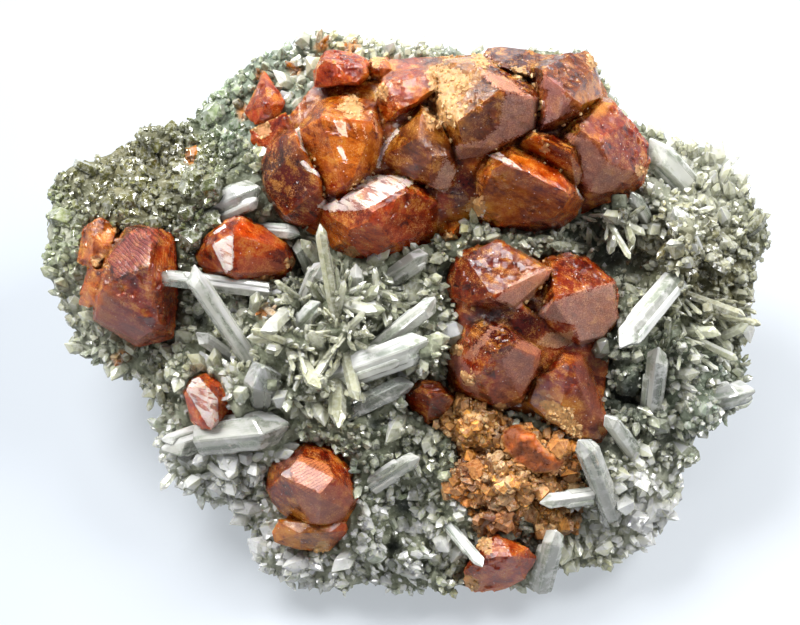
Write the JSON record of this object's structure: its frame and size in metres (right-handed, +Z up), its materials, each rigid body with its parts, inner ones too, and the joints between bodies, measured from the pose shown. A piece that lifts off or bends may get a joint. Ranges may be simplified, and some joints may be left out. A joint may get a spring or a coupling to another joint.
{
  "type": "scheelite specimen",
  "caption": "Mineral specimen: orange-brown scheelite crystals and clear quartz prisms on a slab of grey-green crystal-crusted rock, cut flat underneath.",
  "frame": {"origin": "centre of the bounding box's underside, on the flat cut base", "axes": "+Z up from the base, +X to the right as the crystal face is seen, -Y towards the viewer"},
  "size_m": [0.121, 0.0865, 0.0605],
  "materials": {
    "rock": "rough, crusted with small glassy crystals",
    "scheelite": "glassy, translucent orange-brown",
    "granular_scheelite": "granular, waxy",
    "quartz": "clear, glassy"
  },
  "bodies": {
    "root": {"rock_matrix": "rock", "scheelite_main_cluster": "scheelite", "scheelite_rim_crystal": "scheelite", "scheelite_centre_cluster": "scheelite", "scheelite_small_red_crystal": "scheelite", "scheelite_left_crystal": "scheelite", "scheelite_upper_left_crystal": "scheelite", "scheelite_small_left_crystal": "scheelite", "scheelite_lower_left_crystal": "scheelite", "scheelite_bottom_crystal": "scheelite", "scheelite_granular_mass": "granular_scheelite", "quartz_long_prism": "quartz", "quartz_lance": "quartz", "quartz_crossed_prism_upper": "quartz", "quartz_crossed_prism_lower": "quartz", "quartz_stub_prism": "quartz", "quartz_upper_fang": "quartz", "quartz_blade": "quartz", "quartz_left_barrel": "quartz", "quartz_right_spear": "quartz", "quartz_pale_tooth": "quartz", "quartz_lower_right_prism": "quartz", "quartz_bottom_tooth": "quartz", "quartz_clear_lens": "quartz", "quartz_lower_middle_prism": "quartz"}
  },
  "joints": []
}
